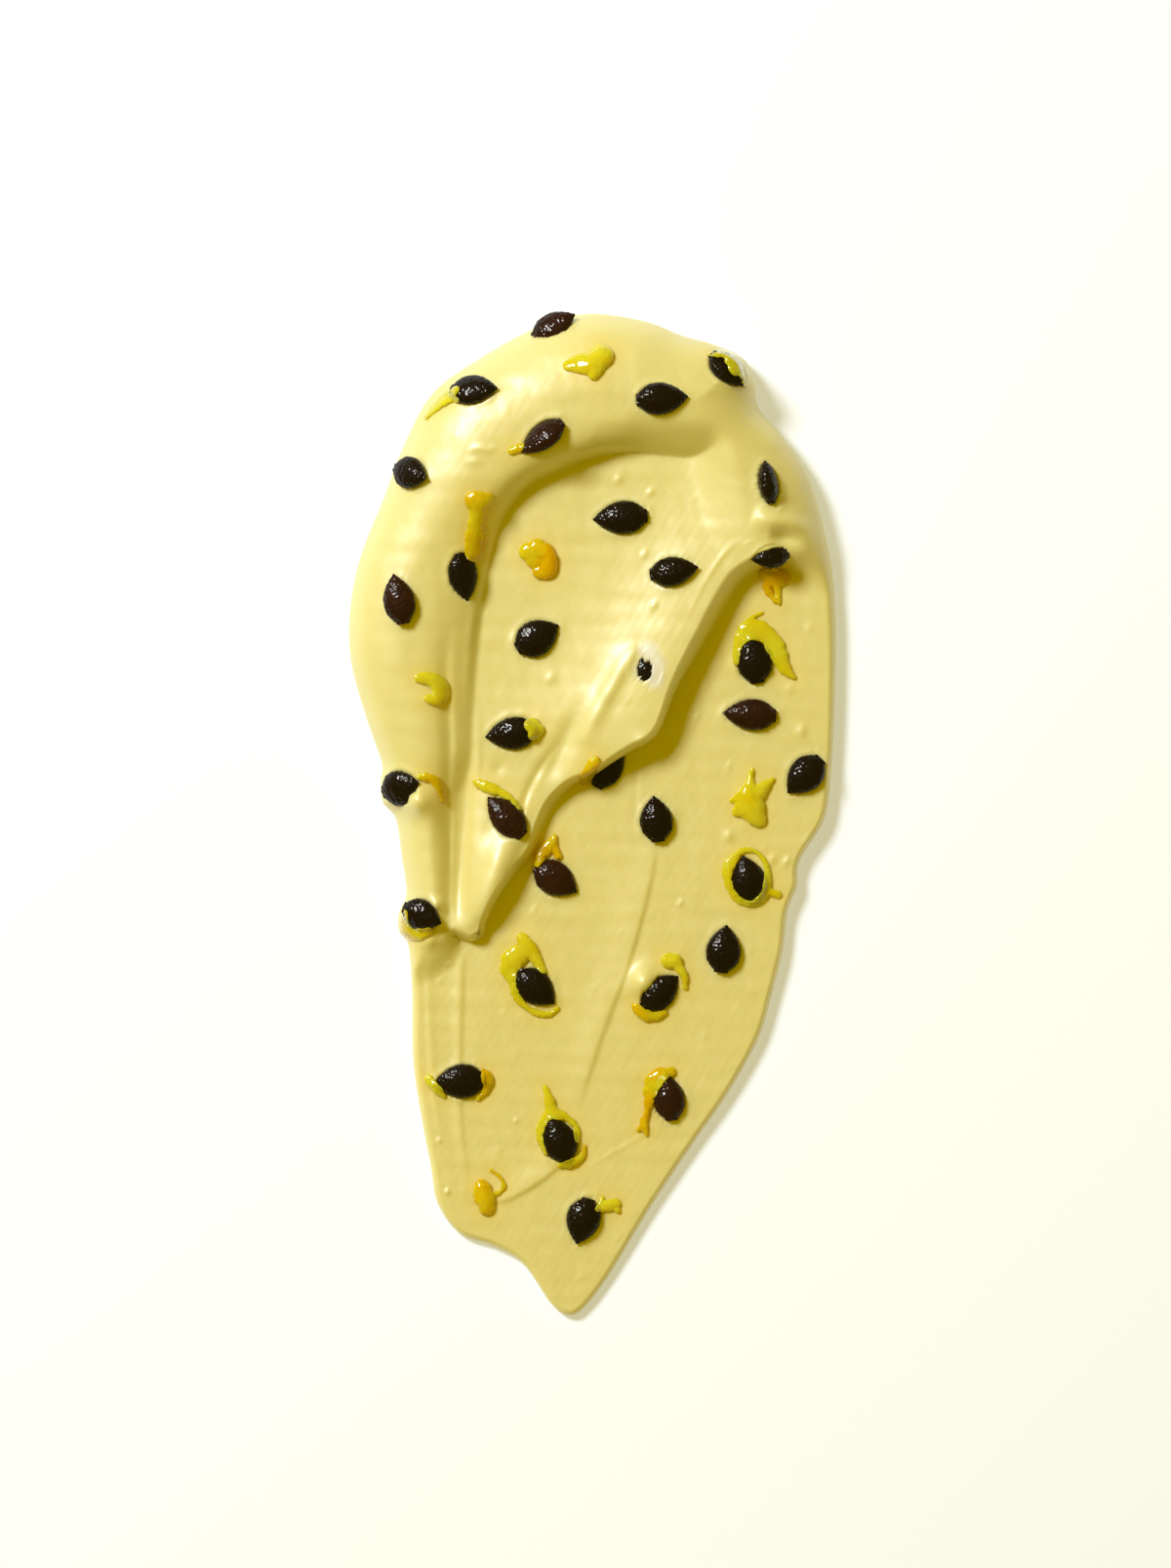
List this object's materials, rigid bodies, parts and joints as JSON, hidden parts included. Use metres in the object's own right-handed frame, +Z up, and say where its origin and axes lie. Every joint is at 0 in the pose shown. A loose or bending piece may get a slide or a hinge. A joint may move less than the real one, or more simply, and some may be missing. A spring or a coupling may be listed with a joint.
{
  "type": "passion fruit cream smear",
  "caption": "Smear of passion fruit cream as a spoon leaves it on a plate: thick round head, folded shelf and thin pointed tail, with seeds and scraps of pulp in it.",
  "frame": {"origin": "centre of the flat underside's bounding box, on the surface that it lies on", "axes": "+Y from the pointed tail to the thick round head, +Z up out of the plate, +X to the right seen from above"},
  "size_m": [0.0532, 0.1097, 0.0108],
  "materials": {
    "cream": "satin, soft and slightly wet",
    "seed": "pitted, wet gloss",
    "pulp": "wet gel gloss"
  },
  "bodies": {
    "root": {"cream": "cream", "seed_01": "seed", "seed_02": "seed", "seed_03": "seed", "seed_04": "seed", "seed_05": "seed", "seed_06": "seed", "seed_07": "seed", "seed_08": "seed", "seed_09": "seed", "seed_10": "seed", "seed_11": "seed", "seed_12": "seed", "seed_13": "seed", "seed_14": "seed", "seed_15": "seed", "seed_16": "seed", "seed_17": "seed", "seed_18": "seed", "seed_19": "seed", "seed_20": "seed", "seed_21": "seed", "seed_22": "seed", "seed_23": "seed", "seed_24": "seed", "seed_25": "seed", "seed_26": "seed", "seed_27": "seed", "seed_28": "seed", "seed_29": "seed", "seed_30": "seed", "seed_31": "seed", "seed_32": "seed", "pulp_01": "pulp", "pulp_02": "pulp", "pulp_03": "pulp", "pulp_04": "pulp", "pulp_05": "pulp", "pulp_06": "pulp", "pulp_07": "pulp", "pulp_08": "pulp", "pulp_09": "pulp", "pulp_10": "pulp", "pulp_11": "pulp", "pulp_12": "pulp", "pulp_13": "pulp", "pulp_14": "pulp", "pulp_15": "pulp", "pulp_16": "pulp", "pulp_17": "pulp", "pulp_18": "pulp", "pulp_19": "pulp", "pulp_20": "pulp", "pulp_21": "pulp", "pulp_22": "pulp", "pulp_23": "pulp", "pulp_24": "pulp", "pulp_25": "pulp", "pulp_26": "pulp", "pulp_27": "pulp"}
  },
  "joints": []
}
